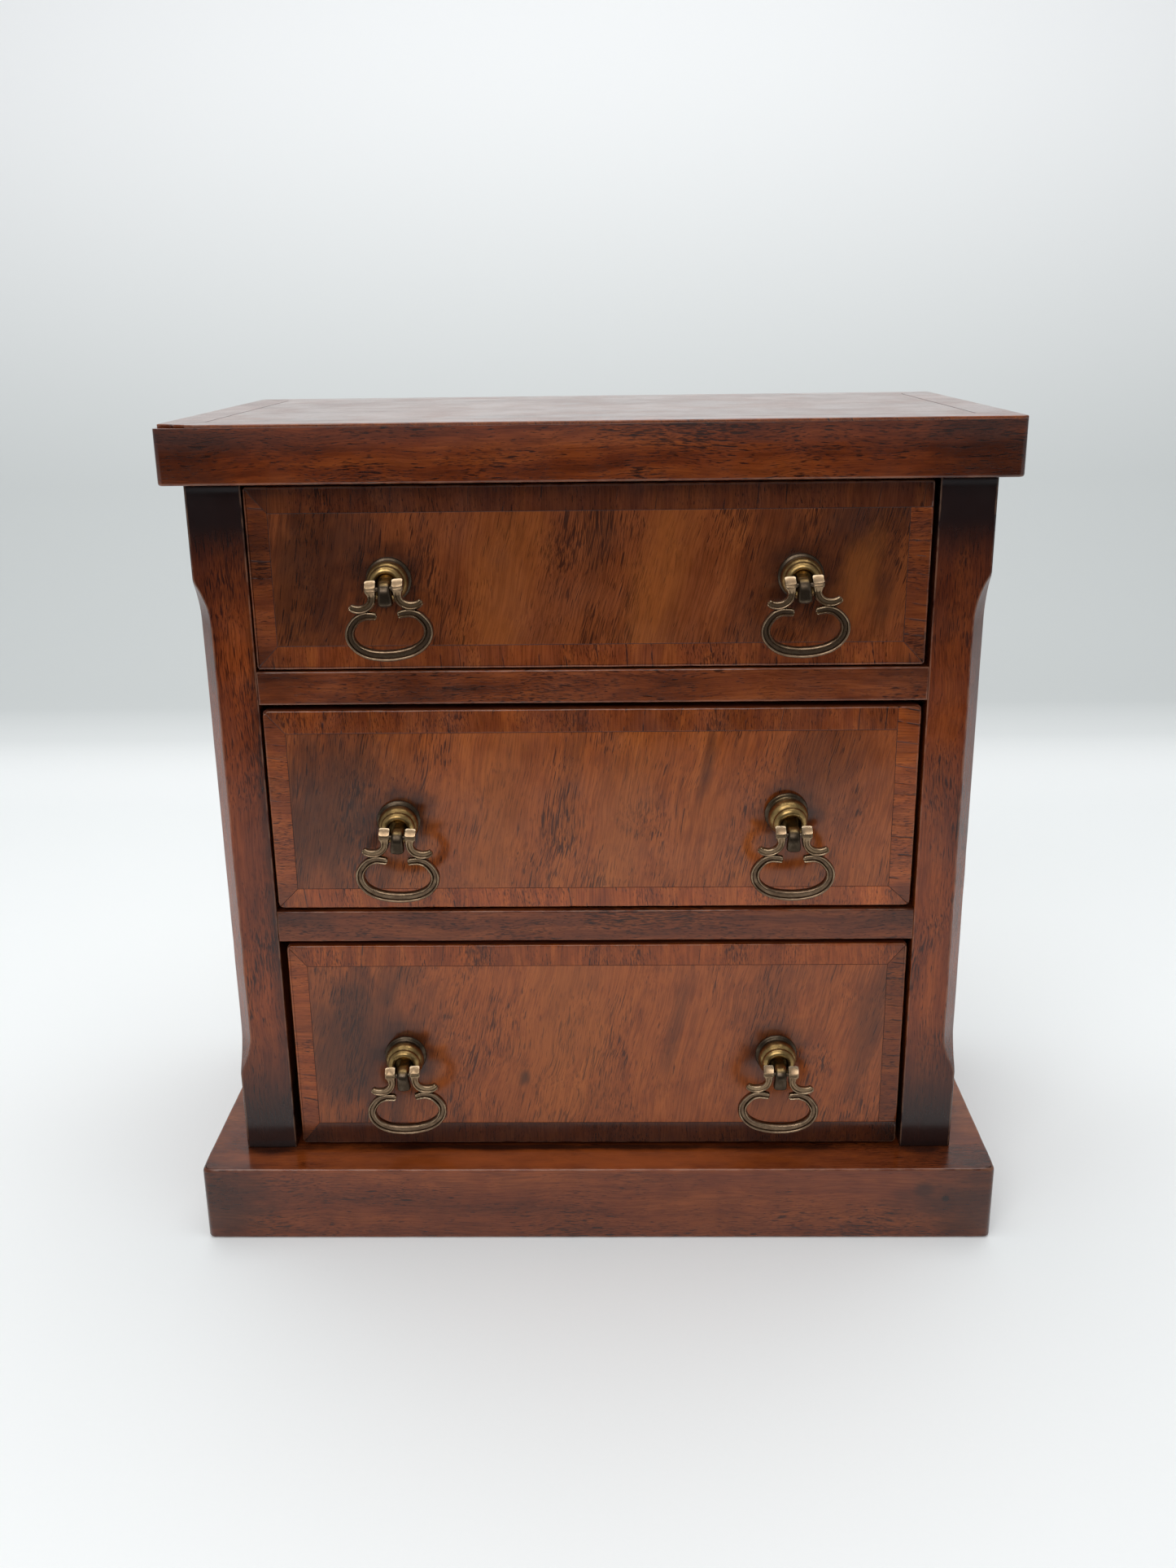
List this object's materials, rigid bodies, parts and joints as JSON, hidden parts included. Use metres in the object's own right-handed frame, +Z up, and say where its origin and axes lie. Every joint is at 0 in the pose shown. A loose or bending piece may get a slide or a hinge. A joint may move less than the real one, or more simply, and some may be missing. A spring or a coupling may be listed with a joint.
{
  "type": "miniature chest of drawers",
  "caption": "Miniature mahogany chest with sliding drawers, crossbanded fronts, stopped chamfers and swinging brass drop handles, on a plain base board.",
  "frame": {"origin": "centre of the base board's underside", "axes": "+Z up, -Y out of the drawer fronts, +X to the right of someone facing the drawers"},
  "size_m": [0.252, 0.1409, 0.2557],
  "materials": {
    "mahogany": "french-polished red-brown mahogany, darker at the ends and worn along the arrises",
    "veneer": "polished mahogany veneer with slanting figure and cross-grained banding",
    "secondary_wood": "unpolished secondary wood",
    "brass": "aged brass with a dark brown patina, rubbed bright on the high places"
  },
  "bodies": {
    "carcass": {"base_board": "mahogany", "left_side": "mahogany", "right_side": "mahogany", "back_panel": "secondary_wood", "lower_rail": "mahogany", "lower_dust_board": "secondary_wood", "upper_rail": "mahogany", "upper_dust_board": "secondary_wood", "top_board": "mahogany", "top_veneer": "veneer"},
    "lower_drawer": {"lower_drawer_facing": "veneer", "lower_drawer_front": "mahogany", "lower_drawer_left_side": "secondary_wood", "lower_drawer_right_side": "secondary_wood", "lower_drawer_bottom": "secondary_wood", "lower_drawer_back": "secondary_wood", "lower_left_boss": "brass", "lower_left_post": "brass", "lower_left_nut": "brass", "lower_right_boss": "brass", "lower_right_post": "brass", "lower_right_nut": "brass"},
    "middle_drawer": {"middle_drawer_facing": "veneer", "middle_drawer_front": "mahogany", "middle_drawer_left_side": "secondary_wood", "middle_drawer_right_side": "secondary_wood", "middle_drawer_bottom": "secondary_wood", "middle_drawer_back": "secondary_wood", "middle_left_boss": "brass", "middle_left_post": "brass", "middle_left_nut": "brass", "middle_right_boss": "brass", "middle_right_post": "brass", "middle_right_nut": "brass"},
    "upper_drawer": {"upper_drawer_facing": "veneer", "upper_drawer_front": "mahogany", "upper_drawer_left_side": "secondary_wood", "upper_drawer_right_side": "secondary_wood", "upper_drawer_bottom": "secondary_wood", "upper_drawer_back": "secondary_wood", "upper_left_boss": "brass", "upper_left_post": "brass", "upper_left_nut": "brass", "upper_right_boss": "brass", "upper_right_post": "brass", "upper_right_nut": "brass"},
    "lower_left_bail": {"lower_left_bail": "brass", "lower_left_pin": "brass"},
    "lower_right_bail": {"lower_right_bail": "brass", "lower_right_pin": "brass"},
    "middle_left_bail": {"middle_left_bail": "brass", "middle_left_pin": "brass"},
    "middle_right_bail": {"middle_right_bail": "brass", "middle_right_pin": "brass"},
    "upper_left_bail": {"upper_left_bail": "brass", "upper_left_pin": "brass"},
    "upper_right_bail": {"upper_right_bail": "brass", "upper_right_pin": "brass"}
  },
  "joints": [
    {"name": "lower_drawer_slide", "type": "slide", "parent": "carcass", "child": "lower_drawer", "axis": [0, -1, 0], "range_m": [0, 0.1]},
    {"name": "middle_drawer_slide", "type": "slide", "parent": "carcass", "child": "middle_drawer", "axis": [0, -1, 0], "range_m": [0, 0.1]},
    {"name": "upper_drawer_slide", "type": "slide", "parent": "carcass", "child": "upper_drawer", "axis": [0, -1, 0], "range_m": [0, 0.1]},
    {"name": "lower_left_bail_swing", "type": "hinge", "parent": "lower_drawer", "child": "lower_left_bail", "pos_m": [-0.06, -0.0691, 0.05875], "axis": [-1, 0, 0], "range_deg": [-35, 214]},
    {"name": "lower_right_bail_swing", "type": "hinge", "parent": "lower_drawer", "child": "lower_right_bail", "pos_m": [0.0575, -0.0691, 0.05875], "axis": [-1, 0, 0], "range_deg": [-35, 214]},
    {"name": "middle_left_bail_swing", "type": "hinge", "parent": "middle_drawer", "child": "middle_left_bail", "pos_m": [-0.0575, -0.0691, 0.1376], "axis": [-1, 0, 0], "range_deg": [-35, 214]},
    {"name": "middle_right_bail_swing", "type": "hinge", "parent": "middle_drawer", "child": "middle_right_bail", "pos_m": [0.059, -0.0691, 0.1376], "axis": [-1, 0, 0], "range_deg": [-35, 214]},
    {"name": "upper_left_bail_swing", "type": "hinge", "parent": "upper_drawer", "child": "upper_left_bail", "pos_m": [-0.0573, -0.0691, 0.2112], "axis": [-1, 0, 0], "range_deg": [-35, 214]},
    {"name": "upper_right_bail_swing", "type": "hinge", "parent": "upper_drawer", "child": "upper_right_bail", "pos_m": [0.0596, -0.0691, 0.2112], "axis": [-1, 0, 0], "range_deg": [-35, 214]}
  ]
}
